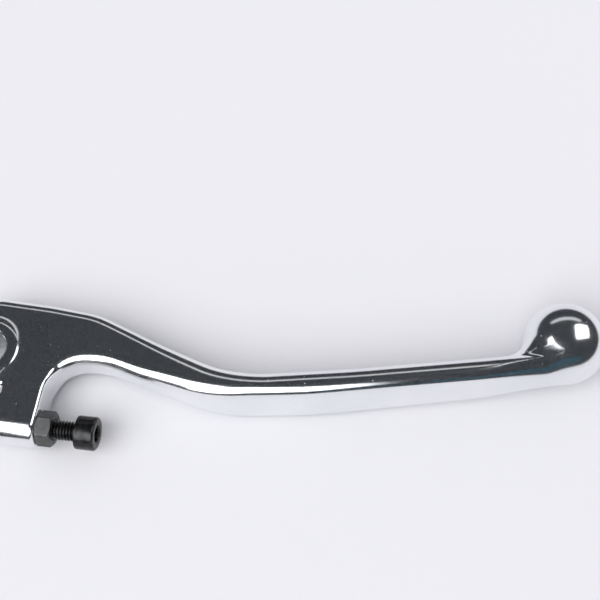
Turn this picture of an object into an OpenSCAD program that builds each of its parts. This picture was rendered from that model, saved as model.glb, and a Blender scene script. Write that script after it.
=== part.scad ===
// Front brake lever for a motorcycle master cylinder, with its free-play adjuster.
// Millimetres. Origin: centre of the pivot bore, at mid thickness. +Z runs along the pivot axis,
// +X towards the ball end of the lever, and +Y away from the rider.

/* [Pivot] */
// Diameter of the pivot bore
bore_d = 10.1; // [6:0.05:12]
// Chamfer on both rims of the bore
bore_chamfer = 0.45; // [0.1:0.05:0.8]
// Diameter of the raised boss where it meets the plate
boss_foot_d = 18; // [16:0.5:20]
// Diameter of the flat face on the boss
boss_face_d = 15.3; // [14:0.1:16]
// Height that the boss stands above the plate, on each side
boss_rise = 0.85; // [0.3:0.05:2]

/* [Plate] */
// Thickness of the plate round the pivot, the heel and the neck
plate_t = 9.9; // [9:0.1:11]
// Radius of the plate's end round the pivot
end_r = 11; // [10:0.5:12]
// Distance from the pivot to the plate's far edge
far_edge = 16.2; // [15:0.1:17]
// Slope of the straight stretch of the neck, in degrees below the X axis
neck_slope = 26.7; // [25:0.1:28]

/* [Blade] */
// Height of the blade, along the pivot axis
blade_h = 16.8; // [15:0.1:18]
// Height of the blade where it runs into the ball
blade_end_h = 15; // [13:0.1:17]
// Distance along X from the pivot to the centre of the ball
ball_x = 148.3; // [140:0.1:155]
// Distance along Y from the pivot to the centre of the ball
ball_y = 3.5; // [2:0.1:4]
// Diameter of the ball
ball_d = 21; // [19:0.1:23]

/* [Adjuster] */
// Nominal diameter of the adjuster screw's thread
thread_d = 5; // [4:0.5:6]
// Length of the screw under its head
screw_l = 25; // [22:1:30]
// Diameter of the screw's head
head_d = 8.5; // [7:0.1:10]
// Height of the screw's head
head_h = 5; // [4:0.1:6]
// Distance across the flats of the hexagon socket
socket_af = 4; // [3:0.5:5]
// Depth of the hexagon socket
socket_depth = 2.5; // [2:0.1:3]
// Distance across the flats of the lock nut
nut_af = 8; // [7:0.1:8.5]
// Thickness of the lock nut
nut_t = 4; // [3:0.1:5]
// Angle that the screw's axis leans towards the rider, in degrees
screw_lean = 6.4; // [4:0.1:8]
// Distance from the lock nut's seat to the underside of the screw's head
head_gap = 10; // [9:0.05:12]
// Turn of the lock nut's first flat above the horizontal, in degrees
nut_turn = 76.6; // [0:0.1:120]

/* [Hidden] */
$fn = 96;

aluminium = [0.80, 0.81, 0.83];
black_oxide = [0.11, 0.11, 0.12];
dark_oxide = [0.16, 0.16, 0.17];

over = 1;                // how far a cutting tool runs past the face it cuts
thread_play = 0.05;      // radial clearance of the screw in the heel and in the nut

// Heel, in the screw's own directions: X along the screw's axis and away from the pivot
heel_x = 15.2;           // where the screw's axis meets the heel's outer face
axis_y = -19.75;         // the same point along Y
heel_l = 12.6;           // length of the threaded hole
heel_reach = 5.2;        // distance from the screw's axis to the heel's near face
heel_round = 4.9;        // rounding of the heel's near edges
hole_chamfer = 0.4;      // chamfer at the mouth of that hole
heel_root = 6;           // how far the heel block runs back into the plate

notch_x = 5.2;           // side of the notch between the pivot end and the heel
notch_y = -12.2;         // floor of that notch
arc_steps = 12;          // straight steps in each rounded corner
flare_from = 40;         // where the plate starts to grow into the blade
flare_to = 70;           // where the blade has its full height
taper_from = 85;         // where the blade starts to narrow towards the ball
taper_to = 140;          // where that narrowing stops, inside the ball's blend
blade_root = 40;         // where the blade's own outline starts, inside the neck
blade_tip = ball_x - 17; // where the straight blade ends and starts to blend into the ball
blend_r = 7;             // rounding of that blend's near side, inside the ball

// Straight stretches of the outline, as [x, y, direction in degrees] through a point
far_line = [0, far_edge, -9.7];
shoulder_line = [20, far_edge - 3.65, -12];
neck_far = [46.2, far_edge - 14.6, -neck_slope];
blade_far_a = [88.5, -6.05, 3.5];
blade_far_b = [121, -2.97, 5.8];
blade_near_b = [110, -11.55, 5.8];
blade_near_a = [72, -14.45, 1];
neck_near = [44, -9.2, -21];
saddle_line = [25, -3.5, 0];
heel_wall = [heel_x, axis_y, 90 - screw_lean];

// Point where two such lines cross
function cross_at(p, q) =
    let (dx = q[0] - p[0], dy = q[1] - p[1],
         s = (dx * sin(q[2]) - dy * cos(q[2])) / sin(q[2] - p[2]))
    [p[0] + s * cos(p[2]), p[1] + s * sin(p[2])];

function unit(v) = v / norm(v);
function on_line(l, x) = [x, l[1] + (x - l[0]) * tan(l[2])];

// Points of a rounded corner at b, between the straight runs from a and to c
function corner(a, b, c, r) =
    let (u = unit(a - b), w = unit(c - b),
         half = acos(u * w) / 2,
         centre = b + unit(u + w) * r / sin(half),
         first = b + u * r / tan(half) - centre,
         side = sign(u[0] * w[1] - u[1] * w[0]),
         sweep = -side * (180 - 2 * half))
    [for (i = [0:arc_steps])
        let (t = sweep * i / arc_steps)
        centre + [first[0] * cos(t) - first[1] * sin(t), first[0] * sin(t) + first[1] * cos(t)]];

// Outline through the corners [point, radius]; a radius of 0 leaves a corner sharp
function outline(corners) =
    let (n = len(corners))
    [for (i = [0:n - 1])
        let (a = corners[(i + n - 1) % n][0], b = corners[i][0], c = corners[(i + 1) % n][0],
             r = corners[i][1])
        each r == 0 ? [b] : corner(a, b, c, r)];

// Plate from the pivot to the neck, seen along the pivot axis
module plate_outline() {
    heel_top = axis_y + heel_reach + 1;
    circle(r = end_r);
    polygon(outline([
        [cross_at([-end_r, 0, 90], far_line), 12],
        [cross_at(far_line, shoulder_line), 60],
        [cross_at(shoulder_line, neck_far), 25],
        [on_line(neck_far, 56), 0],
        [on_line(neck_near, 50), 0],
        [cross_at(neck_near, saddle_line), 20],
        [cross_at(saddle_line, heel_wall), 9.2],
        [cross_at(heel_wall, [0, heel_top - heel_root, 0]), 0],
        [[notch_x - 1.5, heel_top - heel_root], 0],
        [[notch_x - 1.5, notch_y], 0],
        [[notch_x, notch_y], 0.9],
        [[notch_x, 0], 0],
        [[-end_r, 0], 0]
    ]));
}

// Blade from the neck to the ball, seen along the pivot axis
module blade_outline() {
    polygon(outline([
        [on_line(neck_far, blade_root), 0],
        [cross_at(neck_far, blade_far_a), 34],
        [cross_at(blade_far_a, blade_far_b), 300],
        [on_line(blade_far_b, blade_tip), 0],
        [on_line(blade_near_b, blade_tip), 0],
        [cross_at(blade_near_b, blade_near_a), 150],
        [cross_at(blade_near_a, neck_near), 40],
        [on_line(neck_near, blade_root), 0]
    ]));
}

// Half height of the blade along X: it swells smoothly out of the plate, then tapers to the ball
function swell(t) = t <= 0 ? 0 : t >= 1 ? 1 : t * t * (3 - 2 * t);
function half_height(x) =
    plate_t / 2
    + (blade_h - plate_t) / 2 * swell((x - flare_from) / (flare_to - flare_from))
    - (blade_h - blade_end_h) / 2 * swell((x - taper_from) / (taper_to - taper_from));

module blade_side() {
    steps = 10;
    flare = [for (i = [0:steps]) flare_from + (flare_to - flare_from) * i / steps];
    taper = [for (i = [0:steps]) taper_from + (blade_tip - taper_from) * i / steps];
    xs = concat([blade_root - over], flare, taper, [blade_tip + over]);
    top = [for (x = xs) [x, half_height(x)]];
    under = [for (i = [len(xs) - 1:-1:0]) [xs[i], -half_height(xs[i])]];
    polygon(concat(top, under));
}

module blade() {
    intersection() {
        translate([0, 0, -blade_h]) linear_extrude(2 * blade_h) blade_outline();
        rotate([90, 0, 0]) translate([0, 0, -ball_d]) linear_extrude(2 * ball_d) blade_side();
    }
}

// Flare from the blade's end into the near side of the ball
module ball_blend() {
    slice = 0.2;
    hull() {
        intersection() {
            blade();
            translate([blade_tip - slice, -ball_d, -ball_d]) cube([slice, 2 * ball_d, 2 * ball_d]);
        }
        translate([ball_x, ball_y - ball_d / 2 + blend_r, 0]) sphere(r = blend_r, $fn = 32);
    }
}

// Moves to the screw's axis: X runs along it, out of the heel, from the lock nut's seat
module on_screw_axis() {
    translate([heel_x, axis_y, 0]) rotate([0, 0, -screw_lean]) children();
}

// Section of the heel across the screw's axis: near edges rounded, far side square
module heel_section() {
    half = plate_t / 2;
    translate([-heel_reach + heel_round, -half]) square([heel_reach - heel_round + heel_root, plate_t]);
    translate([-heel_reach, -half + heel_round]) square([heel_reach, plate_t - 2 * heel_round]);
    for (side = [-1, 1])
        translate([-heel_reach + heel_round, side * (half - heel_round)]) circle(r = heel_round);
}

module heel() {
    on_screw_axis()
        translate([-heel_l, 0, 0]) rotate([90, 0, 90]) linear_extrude(heel_l) heel_section();
}

// Boss on one side of the plate
module boss() {
    rotate_extrude()
        polygon([[0, 0], [boss_foot_d / 2, 0], [boss_foot_d / 2, plate_t / 2],
                 [boss_face_d / 2, plate_t / 2 + boss_rise], [0, plate_t / 2 + boss_rise]]);
}

module pivot_bore() {
    face = plate_t / 2 + boss_rise;
    cylinder(h = 2 * face + 2 * over, d = bore_d, center = true);
    for (side = [0, 1])
        mirror([0, 0, side])
            translate([0, 0, face - bore_chamfer])
                cylinder(h = bore_chamfer + over, r1 = bore_d / 2, r2 = bore_d / 2 + bore_chamfer + over);
}

// Tapped hole through the heel, chamfered where the lock nut sits
module adjuster_bore() {
    r = thread_d / 2 + thread_play;
    on_screw_axis() rotate([0, 90, 0]) {
        translate([0, 0, -heel_l - 5]) cylinder(h = heel_l + 10, r = r);
        translate([0, 0, -hole_chamfer]) cylinder(h = hole_chamfer + over, r1 = r, r2 = r + hole_chamfer + over);
    }
}

module lever_casting() {
    color(aluminium) difference() {
        union() {
            translate([0, 0, -plate_t / 2]) linear_extrude(plate_t) plate_outline();
            boss();
            mirror([0, 0, 1]) boss();
            heel();
            blade();
            ball_blend();
            translate([ball_x, ball_y, 0]) sphere(d = ball_d);
        }
        pivot_bore();
        adjuster_bore();
    }
}

// Cap screw with its tip towards the pivot side and a hexagon socket in its head
module adjuster_screw() {
    rim = 0.4;
    tip = 0.6;
    r = thread_d / 2;
    head_r = head_d / 2;
    color(black_oxide) on_screw_axis() rotate([0, 90, 0]) translate([0, 0, head_gap]) difference() {
        rotate_extrude()
            polygon([[0, -screw_l], [r - tip, -screw_l], [r, -screw_l + tip], [r, 0], [head_r, 0],
                     [head_r, head_h - rim], [head_r - rim, head_h], [0, head_h]]);
        translate([0, 0, head_h - socket_depth])
            cylinder(h = socket_depth + over, d = socket_af / cos(30), $fn = 6);
    }
}

// Hexagon nut with both faces chamfered to a circle
module lock_nut() {
    corner_r = nut_af / 2 / cos(30);
    face_r = nut_af / 2 - 0.1;
    wide_r = corner_r + 0.5;
    drop = (wide_r - face_r) * tan(30);
    color(dark_oxide) on_screw_axis() rotate([0, 90, 0]) difference() {
        intersection() {
            rotate([0, 0, 90 + 30 - nut_turn]) cylinder(h = nut_t, r = corner_r, $fn = 6);
            rotate_extrude()
                polygon([[0, 0], [face_r, 0], [wide_r, drop], [wide_r, nut_t - drop],
                         [face_r, nut_t], [0, nut_t]]);
        }
        translate([0, 0, -over]) cylinder(h = nut_t + 2 * over, d = thread_d + 2 * thread_play);
    }
}

lever_casting();
adjuster_screw();
lock_nut();
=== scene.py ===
"""Looks of the brake lever: a polished casting with a black adjuster screw and its lock nut.
Lengths in the shape functions are millimetres in the row frame; meshes are scaled to metres at the end."""

import math

import bpy
import numpy as np
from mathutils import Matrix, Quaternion, Vector


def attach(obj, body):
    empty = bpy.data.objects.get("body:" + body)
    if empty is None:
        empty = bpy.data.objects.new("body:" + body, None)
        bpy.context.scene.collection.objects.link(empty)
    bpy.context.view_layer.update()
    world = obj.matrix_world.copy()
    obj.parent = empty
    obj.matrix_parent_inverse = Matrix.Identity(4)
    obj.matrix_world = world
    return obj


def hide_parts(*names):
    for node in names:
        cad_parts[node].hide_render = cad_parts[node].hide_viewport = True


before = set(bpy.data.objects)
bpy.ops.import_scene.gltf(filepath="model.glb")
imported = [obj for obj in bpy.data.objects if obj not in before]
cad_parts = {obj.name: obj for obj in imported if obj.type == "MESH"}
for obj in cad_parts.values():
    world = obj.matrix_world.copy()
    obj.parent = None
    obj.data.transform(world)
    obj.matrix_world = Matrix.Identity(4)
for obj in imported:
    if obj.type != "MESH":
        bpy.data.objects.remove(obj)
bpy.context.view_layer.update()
MM = 0.001

# ---------------------------------------------------------------- sizes
PLATE_HALF = 4.95
BLADE_HALF = 8.4
BLADE_END_HALF = 7.5
BALL = (148.3, 3.5)
BALL_R = 10.5
BALL_FILLET_TOP = 3.0
BALL_FILLET_FAR = 5.0
BALL_BLEND = 1.3               # least width of the blend into the ball
AXIS_AT = (15.2, -19.75)       # where the screw's axis crosses the heel's face
SCREW_LEAN = math.radians(6.4)
HEEL_LENGTH = 12.6
HEEL_REACH = 5.2
END_R = 11.0
NOTCH_X = 5.2
NOTCH_Y = -12.2
BORE_R = 5.05
BORE_CHAMFER = 0.45
BOSS_FACE = 5.8
BOSS_FACE_R = 7.65
BOSS_FOOT_R = 9.0
THREAD_R = 2.5
PITCH = 0.8
HEAD_GAP = 10.0
SCREW_LENGTH = 25.0
HEAD_R = 4.25
HEAD_H = 5.0
SOCKET_AF = 4.0
SOCKET_DEPTH = 2.5
NUT_AF = 8.0
NUT_T = 4.0
NUT_TURN = math.radians(76.6)
SOCKET_TURN = math.radians(14)
THREAD_PLAY = 0.06
HOLE_MOUTH = 0.46              # how far the hole's mouth opens past the thread's radius
CORNER_TRIM = 0.075            # taken off a hexagon's corners
FAR_EDGE_R = 3.6
NEAR_EDGE_R = 2.6
WALL_EDGE_R = 1.2              # on the heel's wall and up to the saddle
HEEL_EDGE_R = PLATE_HALF - 0.02
PIVOT_EDGE_R = 1.0
NOTCH_R = 0.9
BOSS_EDGE_R = 0.3
BOSS_FILLET = 0.55
NO_CUT = -9.0                  # a field value too low to shape anything


def smooth(t):
    t = np.clip(t, 0.0, 1.0)
    return t * t * (3.0 - 2.0 * t)


# ---------------------------------------------------------------- outlines
def cross_at(p, q):
    """Point where two lines [x, y, degrees] cross."""
    a, b = math.radians(p[2]), math.radians(q[2])
    dx, dy = q[0] - p[0], q[1] - p[1]
    s = (dx * math.sin(b) - dy * math.cos(b)) / math.sin(b - a)
    return (p[0] + s * math.cos(a), p[1] + s * math.sin(a))


def rounded(corners):
    """An open run of lines through [point, radius] corners, rounded by exact arcs."""
    parts = []
    start = np.array(corners[0][0], float)
    for i in range(1, len(corners) - 1):
        b = np.array(corners[i][0], float)
        c = np.array(corners[i + 1][0], float)
        r = corners[i][1]
        u = start - b
        u /= np.linalg.norm(u)
        w = c - b
        w /= np.linalg.norm(w)
        half = math.acos(np.clip(u @ w, -1, 1)) / 2
        cut = r / math.tan(half)
        centre = b + (u + w) / np.linalg.norm(u + w) * r / math.sin(half)
        first, last = b + u * cut, b + w * cut
        parts.append(("line", start, first))
        parts.append(("arc", centre, r, first, last))
        start = last
    parts.append(("line", start, np.array(corners[-1][0], float)))
    return parts


def side_distance(parts, x, y):
    """Signed distance to an open run of parts: positive on the left of its direction."""
    best = np.full(np.shape(x), 1e9)
    signed = np.full(np.shape(x), 1e9)
    for i, part in enumerate(parts):
        if part[0] == "line":
            a, b = part[1], part[2]
            d = b - a
            n = np.linalg.norm(d)
            d = d / n
            along = (x - a[0]) * d[0] + (y - a[1]) * d[1]
            low = -1e9 if i == 0 else 0.0
            high = 1e9 if i == len(parts) - 1 else n
            over = along - np.clip(along, low, high)
            off = (y - a[1]) * d[0] - (x - a[0]) * d[1]
            dist = np.hypot(off, over)
        else:
            c, r, p, q = part[1:]
            turn = (p[0] - c[0]) * (q[1] - c[1]) - (p[1] - c[1]) * (q[0] - c[0])
            side = 1.0 if turn > 0 else -1.0
            vx, vy = x - c[0], y - c[1]
            inside = (side * ((p[0] - c[0]) * vy - (p[1] - c[1]) * vx) >= 0) & (
                side * (vx * (q[1] - c[1]) - vy * (q[0] - c[0])) >= 0)
            off = side * (r - np.hypot(vx, vy))
            dist = np.where(inside, np.abs(off), 1e9)
        near = dist < best
        best = np.where(near, dist, best)
        signed = np.where(near, np.where(off >= 0, dist, -dist), signed)
    return signed


def on_line(line, x):
    return (x, line[1] + (x - line[0]) * math.tan(math.radians(line[2])))


FAR_LINE = [0, 15.95, -9.0]
SHOULDER = [20, 12.55, -12.0]
NECK_FAR = [46.2, 1.6, -26.7]
BLADE_FAR_A = [88.5, -6.05, 3.5]
BLADE_FAR_B = [121.0, -2.97, 5.8]
SADDLE = [25, -3.5, 0]
NECK_NEAR = [44, -9.0, -21.0]
BLADE_NEAR_A = [72, -14.2, 1.0]
BLADE_NEAR_B = [110, -11.25, 5.8]
BALL_RUN_IN = [143.0, -8.0, 17.0]
HEEL_WALL = [AXIS_AT[0], AXIS_AT[1], 90 - math.degrees(SCREW_LEAN)]

FAR_CURVE = rounded([
    ((-END_R, -30.0), 0),
    (cross_at([-END_R, 0, 90], FAR_LINE), 12),
    (cross_at(FAR_LINE, SHOULDER), 60),
    (cross_at(SHOULDER, NECK_FAR), 25),
    (cross_at(NECK_FAR, BLADE_FAR_A), 34),
    (cross_at(BLADE_FAR_A, BLADE_FAR_B), 300),
    (on_line(BLADE_FAR_B, 155), 0),
])
NEAR_CURVE = rounded([
    (on_line(BALL_RUN_IN, 155), 0),
    (cross_at(BALL_RUN_IN, BLADE_NEAR_B), 25),
    (cross_at(BLADE_NEAR_B, BLADE_NEAR_A), 150),
    (cross_at(BLADE_NEAR_A, NECK_NEAR), 40),
    (cross_at(NECK_NEAR, SADDLE), 20),
    (cross_at(SADDLE, HEEL_WALL), 9.2),
    (cross_at(HEEL_WALL, [0, -40, 0]), 0),
])


# ---------------------------------------------------------------- casting as a distance field
def round_in(a, b, r):
    """Intersection of two fields with a rounded edge."""
    u, v = a + r, b + r
    return np.minimum(np.maximum(u, v), 0) + np.hypot(np.maximum(u, 0), np.maximum(v, 0)) - r


def round_out(a, b, r):
    """Union of two fields with a filleted corner."""
    u, v = r - a, r - b
    return np.maximum(np.minimum(-u, -v), 0) - np.hypot(np.maximum(u, 0), np.maximum(v, 0)) + r


def soft_union(a, b, width):
    """Union of two fields, blended over the width in which they are nearly equal."""
    h = np.maximum(width - np.abs(a - b), 0) / width
    return np.minimum(a, b) - h * h * width / 4


def half_height(x):
    return (PLATE_HALF + (BLADE_HALF - PLATE_HALF) * smooth((x - 40) / 30)
            - (BLADE_HALF - BLADE_END_HALF) * smooth((x - 85) / 55))


def screw_axes(x, y):
    """Along the screw from the nut's seat, and across it in the plate's plane."""
    c, s = math.cos(SCREW_LEAN), math.sin(SCREW_LEAN)
    dx, dy = x - AXIS_AT[0], y - AXIS_AT[1]
    return dx * c - dy * s, dx * s + dy * c


def plan_fields(x, y):
    """The parts of the field that don't depend on z: outline distances and edge radii."""
    far = side_distance(FAR_CURVE, x, y)
    near = side_distance(NEAR_CURVE, x, y)
    along, across = screw_axes(x, y)
    rho = np.hypot(x, y)
    far_r = FAR_EDGE_R + smooth((x - 30) / 30)
    near_r = NEAR_EDGE_R + smooth((x - 30) / 30) + 3.8 * smooth((x - 124) / 18)
    near_r = near_r + (WALL_EDGE_R - near_r) * smooth((24.5 - x) / 6) * (1 - smooth((y + 8.5) / 4))
    heel = -HEEL_REACH - across
    heel_end = np.maximum(y - NOTCH_Y, -HEEL_LENGTH - along)
    rest = round_out(np.minimum(rho - END_R, -y), round_out(NOTCH_X - x, heel_end, NOTCH_R), NOTCH_R)
    rest_r = PIVOT_EDGE_R + (far_r - PIVOT_EDGE_R) * smooth((y + 6) / 6) * smooth(-x / 4)
    return far, far_r, near, near_r, heel, rest, rest_r, along, across, rho, half_height(x)


def casting_field(x, y, z, plan):
    far, far_r, near, near_r, heel, rest, rest_r, along, across, rho, half = plan
    az = np.abs(z)
    top = az - half
    # every edge is rounded once, against the face that it meets
    over_heel = round_in(heel, top, HEEL_EDGE_R)
    body = np.maximum(round_in(far, top, far_r), round_in(near, over_heel, near_r))
    body = np.maximum(body, round_in(rest, over_heel, rest_r))
    body = np.maximum(body, x - BALL[0] - 3)
    # facing is the cosine between the two surfaces' directions: the blend is wide at a sharp corner
    away = np.sqrt((x - BALL[0]) ** 2 + (y - BALL[1]) ** 2 + z * z) + 1e-6
    across_wall = np.maximum(far + far_r, 0) - np.maximum(near + near_r, 0)
    over_top = np.maximum(top + near_r, 0) * np.sign(z)
    facing = across_wall * (y - BALL[1]) + over_top * z
    facing = facing / (away * (np.hypot(across_wall, over_top) + 1e-6))
    sideways = smooth(across_wall / (np.hypot(across_wall, over_top) + 1e-6))
    fillet = BALL_FILLET_TOP + (BALL_FILLET_FAR - BALL_FILLET_TOP) * sideways
    fillet = fillet * (1 - smooth((x - BALL[0] + 2) / 6))
    width = 4 * fillet * (1 - np.sqrt(np.clip(0.5 + 0.5 * facing, 0, 1))) + BALL_BLEND
    body = np.where(x > 120, soft_union(body, away - BALL_R, width), body)
    slope_r, slope_z = BOSS_FACE - PLATE_HALF, BOSS_FOOT_R - BOSS_FACE_R
    cone = ((rho - BOSS_FACE_R) * slope_r + (az - BOSS_FACE) * slope_z) / math.hypot(slope_r, slope_z)
    boss = round_in(np.maximum(cone, rho - BOSS_FOOT_R - 0.4), az - BOSS_FACE, BOSS_EDGE_R)
    body = round_out(body, boss, BOSS_FILLET)
    chamfer = (az - BOSS_FACE + BORE_CHAMFER + BORE_R - rho) * math.sqrt(0.5)
    bore = np.maximum(BORE_R - rho, chamfer)
    body = round_in(body, bore, 0.15)
    around = np.hypot(across, z)
    hole = np.where(along > -HEEL_LENGTH - 5, THREAD_R + THREAD_PLAY - around, NO_CUT)
    mouth = (THREAD_R + HOLE_MOUTH + along - around) * math.sqrt(0.5)
    hole = np.maximum(hole, np.where(np.abs(along) < 1.5, mouth, NO_CUT))
    return np.maximum(body, np.where(along < 5, hole, NO_CUT))


def field_at(p):
    x, y, z = p.T
    return casting_field(x, y, z, plan_fields(x, y))


def gradient_at(p, step=0.02):
    g = np.zeros_like(p)
    for k in ((1, -1, -1), (-1, -1, 1), (-1, 1, -1), (1, 1, 1)):
        k = np.array(k, float)
        g += k * field_at(p + k * step)[:, None]
    return g / (4 * step)


def spaced(stops):
    """Grid positions from [(from, spacing), ..., (to, _)] runs."""
    out = []
    for (a, s), (b, _) in zip(stops, stops[1:]):
        n = max(1, round((b - a) / s))
        out.append(np.linspace(a, b, n, endpoint=False))
    out.append(np.array([stops[-1][0]]))
    return np.concatenate(out)


def surface_net(xs, ys, zs):
    """Quads round the zero level of the casting's field on a rectilinear grid."""
    gx, gy = np.meshgrid(xs, ys, indexing="ij")
    plan = [a[:, :, None] for a in plan_fields(gx, gy)]
    f = casting_field(gx[:, :, None], gy[:, :, None], zs[None, None, :], plan)
    inside = f < 0
    shape = tuple(n - 1 for n in f.shape)
    count = np.zeros(int(np.prod(shape)))
    total = np.zeros((count.size, 3))
    axes = (xs, ys, zs)
    faces = []
    for ax in range(3):
        a = [slice(None)] * 3
        b = [slice(None)] * 3
        a[ax], b[ax] = slice(None, -1), slice(1, None)
        i = np.argwhere(inside[tuple(a)] != inside[tuple(b)])
        f0 = f[tuple(i.T)]
        j = i.copy()
        j[:, ax] += 1
        t = f0 / (f0 - f[tuple(j.T)])
        p = np.stack([axes[k][i[:, k]] for k in range(3)], 1).astype(float)
        p[:, ax] += t * (axes[ax][j[:, ax]] - axes[ax][i[:, ax]])
        o1, o2 = (ax + 1) % 3, (ax + 2) % 3
        ring = []
        for d1, d2 in ((-1, -1), (0, -1), (0, 0), (-1, 0)):
            cell = i.copy()
            cell[:, o1] += d1
            cell[:, o2] += d2
            ring.append(np.ravel_multi_index(cell.T, shape))
        for cells in ring:
            count += np.bincount(cells, minlength=count.size)
            for k in range(3):
                total[:, k] += np.bincount(cells, weights=p[:, k], minlength=count.size)
        quad = np.stack(ring, 1)
        flip = ~inside[tuple(i.T)]
        quad[flip] = quad[flip][:, ::-1]
        faces.append(quad)
    used = np.flatnonzero(count)
    index = np.full(count.size, -1)
    index[used] = np.arange(used.size)
    return total[used] / count[used][:, None], index[np.concatenate(faces)]


def relax(p, quads, rounds):
    """Evens the mesh out along the surface, then pulls it back on to the zero level."""
    edges = np.concatenate([quads[:, [0, 1]], quads[:, [1, 2]], quads[:, [2, 3]], quads[:, [3, 0]]])
    degree = np.bincount(edges[:, 0], minlength=len(p))[:, None]
    for _ in range(rounds):
        g = gradient_at(p)
        g /= np.maximum(np.linalg.norm(g, axis=1, keepdims=True), 1e-9)
        mean = np.stack([np.bincount(edges[:, 0], weights=p[edges[:, 1], k], minlength=len(p))
                         for k in range(3)], 1) / degree
        move = (mean - p) * 0.5
        move -= (move * g).sum(1, keepdims=True) * g
        p = p + move
        for _ in range(2):
            g = gradient_at(p)
            step = -field_at(p)[:, None] * g / np.maximum((g * g).sum(1, keepdims=True), 0.1)
            size = np.linalg.norm(step, axis=1, keepdims=True)
            p = p + step * np.minimum(1, 0.25 / np.maximum(size, 1e-9))
    return p


def mesh_object(name, points, faces, normals=None):
    """A mesh object from points in millimetres."""
    mesh = bpy.data.meshes.new(name)
    mesh.from_pydata((np.asarray(points) * MM).tolist(), [], [tuple(int(i) for i in f) for f in faces])
    mesh.polygons.foreach_set("use_smooth", [True] * len(mesh.polygons))
    mesh.update()
    if normals is not None:
        mesh.normals_split_custom_set_from_vertices(normals.tolist())
    obj = bpy.data.objects.new(name, mesh)
    bpy.context.scene.collection.objects.link(obj)
    return obj


def build_casting():
    coarse = 1.0
    xs = spaced([(-12.03, 0.27 * coarse), (17.5, 0.45 * coarse), (134, 0.36 * coarse), (159.7, 0)])
    ys = spaced([(-25.6, 0.29 * coarse), (17.2, 0)])
    zs = spaced([(-11.27, 0.29 * coarse), (11.31, 0)])
    points, quads = surface_net(xs, ys, zs)
    points = relax(points, quads, 3)
    g = gradient_at(points, 0.03)
    g /= np.linalg.norm(g, axis=1, keepdims=True)
    return mesh_object("casting", points, quads, g)


casting = build_casting()
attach(casting, "lever")
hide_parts("lever_casting")


# ---------------------------------------------------------------- screw and nut
def to_frame(s, w, z):
    """Points given along the screw from the nut's seat, across it, and up, in the row frame."""
    c, n = math.cos(SCREW_LEAN), math.sin(SCREW_LEAN)
    return np.stack([AXIS_AT[0] + s * c + w * n, AXIS_AT[1] - s * n + w * c, z + 0 * s], -1)


def hexagon(theta, flats, turn):
    """Radius of a hexagon at each angle, its corners slightly rounded."""
    sector = np.mod(theta - turn, math.pi / 3) - math.pi / 6
    sharp = flats / 2 / np.cos(sector)
    cap = flats / 2 / math.cos(math.pi / 6) - CORNER_TRIM
    return np.minimum(sharp, cap)


def lathe(rings, count):
    """A surface through rings [(s, radius or function of angle)], each ring closed round the axis; its
    ends are left open.
    """
    theta = np.linspace(0, 2 * math.pi, count, endpoint=False)
    points = []
    for s, r in rings:
        radius = r(theta) if callable(r) else np.full(count, float(r))
        points.append(to_frame(np.full(count, s), radius * np.cos(theta), radius * np.sin(theta)))
    points = np.concatenate(points)
    faces = []
    for i in range(len(rings) - 1):
        a, b = i * count, (i + 1) * count
        for j in range(count):
            k = (j + 1) % count
            faces.append((a + j, a + k, b + k, b + j))
    return points, faces


def thread(s0, s1, root, crest, steps):
    """Rings of a right-hand thread from s0 to s1, fading out at each end."""
    rings = []
    n = int(round((s1 - s0) / PITCH * steps))
    for i in range(n + 1):
        s = s0 + (s1 - s0) * i / n

        def radius(theta, s=s):
            phase = np.mod(s / PITCH - theta / (2 * math.pi), 1.0)
            ridge = np.clip((0.44 - np.abs(phase - 0.5)) / 0.36, 0, 1)
            ridge = np.where(ridge > 0.9, 0.9 + (ridge - 0.9) * 0.5, ridge)
            grow = min(1.0, (s - s0) / PITCH / 0.7 + 0.25)
            fade = min(1.0, max(0.0, (s1 - s) / PITCH / 0.9))
            return root + (crest - root) * ridge * grow * fade
        rings.append((s, radius))
    return rings


def finish_mesh(name, points, faces, angle):
    obj = mesh_object(name, points, faces)
    obj.data.set_sharp_from_angle(angle=math.radians(angle))
    return obj


def socket(theta):
    return hexagon(theta, SOCKET_AF, SOCKET_TURN)


def build_screw():
    count = 72
    tip = -SCREW_LENGTH + HEAD_GAP
    face = HEAD_GAP + HEAD_H
    rings = [(tip, 0.02), (tip, 0.9), (tip, 1.72), (tip + 0.06, 1.86)]
    rings += thread(tip + 0.2, HEAD_GAP - 0.35, 1.98, THREAD_R, 12)
    rings += [(HEAD_GAP - 0.3, 2.05), (HEAD_GAP - 0.12, 2.25)]
    rings += [(HEAD_GAP - 0.01, 2.6), (HEAD_GAP, 3.2)]
    rings += [(HEAD_GAP, HEAD_R - 0.16), (HEAD_GAP + 0.05, HEAD_R - 0.05), (HEAD_GAP + 0.16, HEAD_R)]
    rings += [(HEAD_GAP + 0.6 + 0.75 * i, HEAD_R) for i in range(5)]
    rim = 0.38
    rings += [(face - rim - 0.08, HEAD_R), (face - rim, HEAD_R - 0.03)]
    rings += [(face - 0.05, HEAD_R - rim + 0.03), (face, HEAD_R - rim - 0.06)]
    rings += [(face, 3.3), (face, 2.75)]
    floor = face - SOCKET_DEPTH
    rings += [(face - 0.03, lambda theta: np.maximum(socket(theta), 2.36))]
    rings += [(face - 0.16, lambda theta: np.maximum(socket(theta), 2.22))]
    rings += [(face - 0.3, lambda theta: socket(theta) + 0.04), (face - 0.36, socket)]
    rings += [(face - SOCKET_DEPTH * t, socket) for t in (0.35, 0.55, 0.75, 0.98)]
    rings += [(floor, lambda theta: socket(theta) * 0.97)]
    rings += [(floor, 1.8), (floor - 0.5, 0.9), (floor - 0.95, 0.02)]
    points, faces = lathe(rings, count)
    faces.append(tuple(range(count))[::-1])
    last = (len(rings) - 1) * count
    faces.append(tuple(range(last, last + count)))
    return finish_mesh("screw", points, faces, 38)


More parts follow.
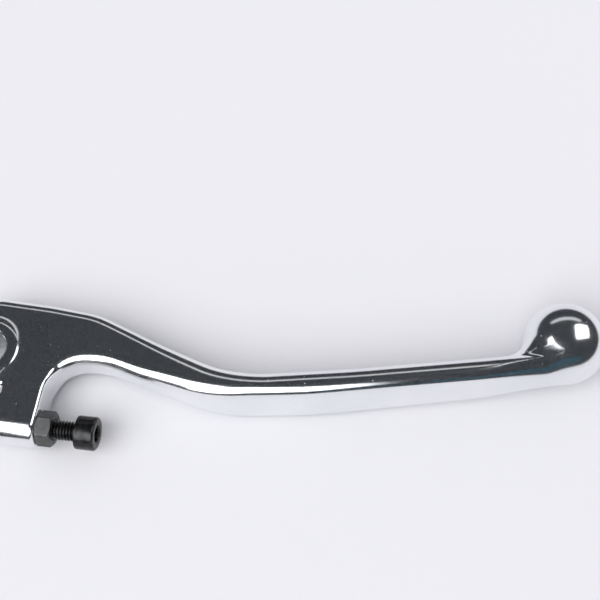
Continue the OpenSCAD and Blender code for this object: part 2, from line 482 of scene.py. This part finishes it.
def build_nut():
    count = 144
    face_r = NUT_AF / 2 - 0.1
    slope = math.tan(math.radians(30))
    hole = THREAD_R + THREAD_PLAY

    def outer(s):
        depth = min(s, NUT_T - s)
        turn = math.pi / 2 - NUT_TURN
        return lambda theta: np.minimum(hexagon(theta, NUT_AF, turn), face_r + depth / slope)

    steps = [0.0, 0.03, 0.08, 0.14, 0.2, 0.26, 0.32, 0.38, 0.44, 0.52, 0.7, 1.1]
    along = steps + [NUT_T / 2] + [NUT_T - s for s in reversed(steps)]
    rings = [(s, outer(s)) for s in along]
    rings += [(NUT_T, 3.4), (NUT_T, 2.9), (NUT_T - 0.25, hole), (NUT_T / 2, hole)]
    rings += [(0.25, hole), (0, 2.9), (0, 3.4)]
    points, faces = lathe(rings, count)
    last = (len(rings) - 1) * count
    for j in range(count):
        k = (j + 1) % count
        faces.append((last + j, last + k, k, j))
    return finish_mesh("nut", points, faces, 22)


screw = build_screw()
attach(screw, "adjuster")
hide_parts("adjuster_screw")
nut = build_nut()
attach(nut, "nut")
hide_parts("lock_nut")


# ---------------------------------------------------------------- materials
class Nodes:
    """Short calls for building a node tree."""

    def __init__(self, material):
        material.use_nodes = True
        self.tree = material.node_tree
        self.tree.nodes.clear()

    def add(self, kind, inputs=None, **props):
        node = self.tree.nodes.new(kind)
        for key, value in props.items():
            setattr(node, key, value)
        for key, value in (inputs or {}).items():
            if isinstance(value, bpy.types.NodeSocket):
                self.tree.links.new(value, node.inputs[key])
            else:
                node.inputs[key].default_value = value
        return node

    def math(self, op, a, b=0.0, clamp=False):
        return self.add("ShaderNodeMath", {0: a, 1: b}, operation=op, use_clamp=clamp).outputs[0]

    def span(self, value, low, high, to_low, to_high):
        node = self.add("ShaderNodeMapRange", {"Value": value, "From Min": low, "From Max": high,
                                               "To Min": to_low, "To Max": to_high})
        return node.outputs["Result"]

    def mix(self, factor, a, b):
        node = self.add("ShaderNodeMix", data_type="RGBA")
        for socket, value in ((node.inputs[0], factor), (node.inputs[6], a), (node.inputs[7], b)):
            if isinstance(value, bpy.types.NodeSocket):
                self.tree.links.new(value, socket)
            else:
                socket.default_value = value
        return node.outputs[2]

    def noise(self, vector, scale, detail=4.0, rough=0.5):
        return self.add("ShaderNodeTexNoise", {"Vector": vector, "Scale": scale, "Detail": detail,
                                               "Roughness": rough}).outputs["Fac"]

    def output(self, shader):
        self.add("ShaderNodeOutputMaterial", {"Surface": shader})


def polished(name):
    material = bpy.data.materials.new(name)
    n = Nodes(material)
    place = n.add("ShaderNodeTexCoord").outputs["Object"]
    fine = n.noise(place, 2600.0, 6.0, 0.6)
    haze = n.noise(place, 55.0, 3.0)
    film = n.noise(place, 2600.0, 5.0, 0.75)
    specks = n.add("ShaderNodeTexVoronoi", {"Vector": place, "Scale": 900.0}, feature="F1")
    chance = n.add("ShaderNodeSeparateColor", {"Color": specks.outputs["Color"]})
    size = n.span(chance.outputs[1], 0.0, 1.0, 0.05, 0.13)
    dust = n.math("LESS_THAN", specks.outputs["Distance"], size)
    dust = n.math("MULTIPLY", dust, n.span(chance.outputs[0], 0.6, 1.0, 0.0, 1.0))
    stretch = n.add("ShaderNodeMapping", {"Vector": place, "Rotation": (0.2, 0.1, 0.35),
                                          "Scale": (60.0, 2600.0, 1600.0)})
    lines = n.noise(stretch.outputs[0], 1.0, 3.0, 0.7)
    scratch = n.span(lines, 0.64, 0.78, 0.0, 1.0)
    tint = n.mix(n.span(haze, 0.35, 0.65, 0.0, 1.0), (0.83, 0.845, 0.87, 1), (0.9, 0.905, 0.915, 1))
    rough = n.math("ADD", n.span(fine, 0.3, 0.7, 0.12, 0.18), n.math("MULTIPLY", scratch, 0.1))
    rough = n.math("ADD", rough, n.math("MULTIPLY", dust, 0.3))
    dull = n.math("ADD", n.span(film, 0.42, 0.72, 0.0, 0.07), n.math("MULTIPLY", dust, 0.25), True)
    dull = n.math("ADD", dull, n.math("MULTIPLY", scratch, 0.03))
    height = n.math("ADD", n.math("MULTIPLY", fine, 0.35), n.math("MULTIPLY", dust, 0.6))
    height = n.math("ADD", height, n.math("MULTIPLY", n.noise(place, 240.0, 2.0), 1.5))
    height = n.math("SUBTRACT", height, n.math("MULTIPLY", scratch, 0.5))
    bump = n.add("ShaderNodeBump", {"Height": height, "Strength": 0.16, "Distance": 0.00002})
    metal = n.math("SUBTRACT", 1.0, dull)
    shader = n.add("ShaderNodeBsdfPrincipled", {"Base Color": tint, "Metallic": metal,
                                                "Roughness": rough, "Normal": bump.outputs[0]})
    n.output(shader.outputs[0])
    return material


def machined(name):
    material = bpy.data.materials.new(name)
    n = Nodes(material)
    place = n.add("ShaderNodeTexCoord").outputs["Object"]
    turn = n.add("ShaderNodeMapping", {"Vector": place, "Scale": (300.0, 300.0, 9000.0)})
    rings = n.noise(turn.outputs[0], 1.0, 3.0, 0.6)
    tint = n.mix(n.span(rings, 0.35, 0.65, 0.0, 1.0), (0.62, 0.63, 0.64, 1), (0.78, 0.79, 0.8, 1))
    rough = n.span(rings, 0.3, 0.7, 0.28, 0.42)
    bump = n.add("ShaderNodeBump", {"Height": rings, "Strength": 0.4, "Distance": 0.00003})
    shader = n.add("ShaderNodeBsdfPrincipled", {"Base Color": tint, "Metallic": 1.0, "Roughness": rough,
                                                "Normal": bump.outputs[0]})
    n.output(shader.outputs[0])
    return material


def black_oxide(name, dark, light, low, high):
    material = bpy.data.materials.new(name)
    n = Nodes(material)
    place = n.add("ShaderNodeTexCoord").outputs["Object"]
    grain = n.noise(place, 5200.0, 4.0, 0.6)
    cloud = n.noise(place, 700.0, 3.0)
    tint = n.mix(n.span(cloud, 0.35, 0.65, 0.0, 1.0), dark, light)
    rough = n.math("ADD", n.span(cloud, 0.3, 0.7, low, high), n.span(grain, 0.3, 0.7, -0.03, 0.05))
    bump = n.add("ShaderNodeBump", {"Height": grain, "Strength": 0.35, "Distance": 0.00002})
    shader = n.add("ShaderNodeBsdfPrincipled", {"Base Color": tint, "Metallic": 0.9, "Roughness": rough,
                                                "Normal": bump.outputs[0]})
    n.output(shader.outputs[0])
    return material


casting.data.materials.append(polished("polished_aluminium"))
casting.data.materials.append(machined("machined_aluminium"))
centres = np.zeros(len(casting.data.polygons) * 3)
casting.data.polygons.foreach_get("center", centres)
centres = centres.reshape(-1, 3) / MM
s_along, s_across = screw_axes(centres[:, 0], centres[:, 1])
bored = np.hypot(centres[:, 0], centres[:, 1]) < BORE_R + 0.12
in_heel = (s_along < 0.3) & (s_along > -HEEL_LENGTH - 0.4)
drilled = (np.hypot(s_across, centres[:, 2]) < THREAD_R + 0.3) & in_heel
casting.data.polygons.foreach_set("material_index", (bored | drilled).astype(np.int32))
screw.data.materials.append(
    black_oxide("screw_black_oxide", (0.03, 0.03, 0.031, 1), (0.06, 0.06, 0.061, 1), 0.24, 0.32))
nut.data.materials.append(
    black_oxide("nut_black_oxide", (0.085, 0.087, 0.087, 1), (0.12, 0.123, 0.122, 1), 0.3, 0.38))


# ---------------------------------------------------------------- floor and light
def floor_height(x):
    """The floor touches the boss's far edge and the ball, so it leans in the row frame."""
    lean = (BALL_R - BOSS_FACE) / (BALL[0] + BOSS_FACE_R)
    return -BOSS_FACE - BOSS_FACE_R * lean - lean * x


def build_floor():
    reach = 6000.0
    corners = ((-reach, -reach), (reach, -reach), (reach, reach), (-reach, reach))
    points = [(x, y, floor_height(x)) for x, y in corners]
    floor = mesh_object("floor", points, [(0, 1, 2, 3)])
    material = bpy.data.materials.new("pale_floor")
    n = Nodes(material)
    place = n.add("ShaderNodeTexCoord").outputs["Object"]
    tint = n.mix(n.noise(place, 3.0), (0.80, 0.80, 0.83, 1), (0.83, 0.83, 0.855, 1))
    shader = n.add("ShaderNodeBsdfPrincipled", {"Base Color": tint, "Roughness": 0.7,
                                                "Specular IOR Level": 0.2})
    n.output(shader.outputs[0])
    floor.data.materials.append(material)


def panel(name, rows, colour, strength, fade=None):
    """A glowing sheet with soft edges, seen only in reflections. fade runs along the rows of points."""
    wide = len(rows[0])
    points = [p for row in rows for p in row]
    faces = [(r * wide + c, r * wide + c + 1, (r + 1) * wide + c + 1, (r + 1) * wide + c)
             for r in range(len(rows) - 1) for c in range(wide - 1)]
    obj = mesh_object(name, points, faces)
    layer = obj.data.uv_layers.new(name="UVMap")
    for loop in obj.data.loops:
        row, column = divmod(loop.vertex_index, wide)
        layer.data[loop.index].uv = (column / (wide - 1), row / (len(rows) - 1))
    material = bpy.data.materials.new(name)
    n = Nodes(material)
    place = n.add("ShaderNodeSeparateXYZ", {"Vector": n.add("ShaderNodeTexCoord").outputs["UV"]})
    spans = [n.span(place.outputs[k], 0.0, 1.0, -1.0, 1.0) for k in (0, 1)]
    rim = [n.math("POWER", n.math("ABSOLUTE", span), 5.0) for span in spans]
    if fade:
        rim[0] = n.span(place.outputs[0], fade[0], fade[1], 1.0, 0.0)
    inside = n.math("SUBTRACT", 1.0, n.math("ADD", rim[0], rim[1]), True)
    glow = n.math("MULTIPLY", n.math("MINIMUM", n.math("MULTIPLY", inside, 2.2), 1.0), strength)
    shader = n.add("ShaderNodeEmission", {"Color": colour, "Strength": glow})
    n.output(shader.outputs[0])
    obj.data.materials.append(material)
    obj.visible_camera = False
    obj.visible_diffuse = False
    obj.visible_shadow = False


def build_light():
    panel("front_panel",
          [[(140, -112, 36), (84, -95, 36), (-18, -92, 24), (-34, -88, 48), (-150, -40, 115)],
           [(140, -110, 135), (84, -90, 140), (-18, -84, 222), (-34, -82, 236), (-150, 20, 330)]],
          (0.96, 0.98, 1.0, 1), 3.0, (0.05, 0.29))
    panel("right_panel",
          [[(331, 347, 614), (688, 347, 336)], [(332, -165, 648), (689, 2, 358)]],
          (0.97, 0.985, 1.0, 1), 3.2, (0.08, 0.22))
    panel("back_strip",
          [[(-300, 500, 345), (600, 500, 345)], [(-300, 500, 500), (600, 500, 500)]],
          (0.98, 0.98, 1.0, 1), 0.7)
    panel("blue_panel",
          [[(95, -250, 45), (330, -230, 45)], [(95, -250, 135), (330, -230, 135)]],
          (0.2, 0.52, 0.72, 1), 0.13)
    sun = bpy.data.lights.new("sun", "SUN")
    sun.energy = 2.1
    sun.angle = math.radians(55)
    lamp = bpy.data.objects.new("sun", sun)
    lamp.rotation_mode = "QUATERNION"
    lamp.rotation_quaternion = Vector((0.5, 0.55, -0.85)).to_track_quat("-Z", "Y")
    lamp.visible_glossy = False
    bpy.context.scene.collection.objects.link(lamp)
    world = bpy.data.worlds.new("studio")
    bpy.context.scene.world = world
    n = Nodes(world)
    dark = n.add("ShaderNodeBackground", {"Color": (0.03, 0.034, 0.04, 1), "Strength": 1.0})
    pale = n.add("ShaderNodeBackground", {"Color": (0.8, 0.8, 0.83, 1), "Strength": 0.7})
    mirrored = n.add("ShaderNodeLightPath").outputs["Is Glossy Ray"]
    both = n.add("ShaderNodeMixShader", {0: mirrored, 1: pale.outputs[0], 2: dark.outputs[0]})
    n.add("ShaderNodeOutputWorld", {"Surface": both.outputs[0]})


build_floor()
build_light()


# ---------------------------------------------------------------- camera
def build_camera():
    place = Vector((0.09204, -0.10983, 0.23533))
    target = Vector((0.08017, 0.01657, 0.0))
    data = bpy.data.cameras.new("camera")
    data.lens = 60.34
    data.sensor_width = 36.0
    data.clip_start, data.clip_end = 0.01, 50.0
    camera = bpy.data.objects.new("camera", data)
    camera.rotation_mode = "QUATERNION"
    camera.location = place
    turn = (target - place).to_track_quat("-Z", "Y")
    roll = math.radians(-4.877)
    camera.rotation_quaternion = turn @ Quaternion((0, 0, 1), roll)
    bpy.context.scene.collection.objects.link(camera)
    bpy.context.scene.camera = camera


build_camera()
bpy.context.scene.view_settings.view_transform = "Standard"
